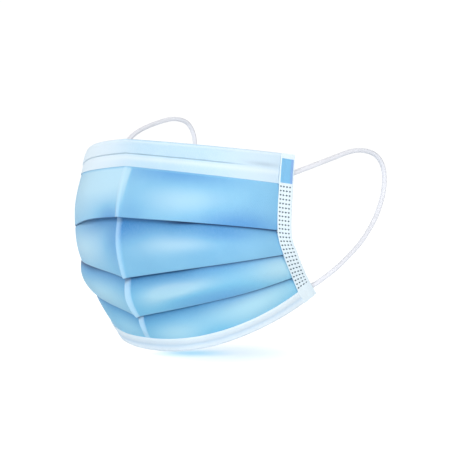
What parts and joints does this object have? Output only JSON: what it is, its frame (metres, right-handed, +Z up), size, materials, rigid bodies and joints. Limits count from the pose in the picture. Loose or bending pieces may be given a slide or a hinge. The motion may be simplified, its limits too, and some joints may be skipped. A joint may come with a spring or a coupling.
{
  "type": "pleated face mask",
  "caption": "Pleated disposable face mask opened out to its worn shape, with folded bands along its top and bottom edges, welded side tapes and elastic ear loops.",
  "frame": {"origin": "nose seat: the middle of the inner side of the top band, where it lies on the bridge of the nose", "axes": "+Z up, the front of the mask looks along -Y and the face lies towards +Y, +X to the wearer's left"},
  "size_m": [0.1268, 0.1409, 0.1195],
  "materials": {
    "panel": "matt blue nonwoven with a fine embossed grain, white inside",
    "band": "matt white nonwoven",
    "tape": "white nonwoven pressed flat by rows of weld dots",
    "elastic": "soft white knitted elastic cord"
  },
  "bodies": {
    "root": {"pleated_panel": "panel", "top_band": "band", "bottom_band": "band", "left_side_tape": "tape", "right_side_tape": "tape", "left_ear_loop": "elastic", "right_ear_loop": "elastic"}
  },
  "joints": []
}
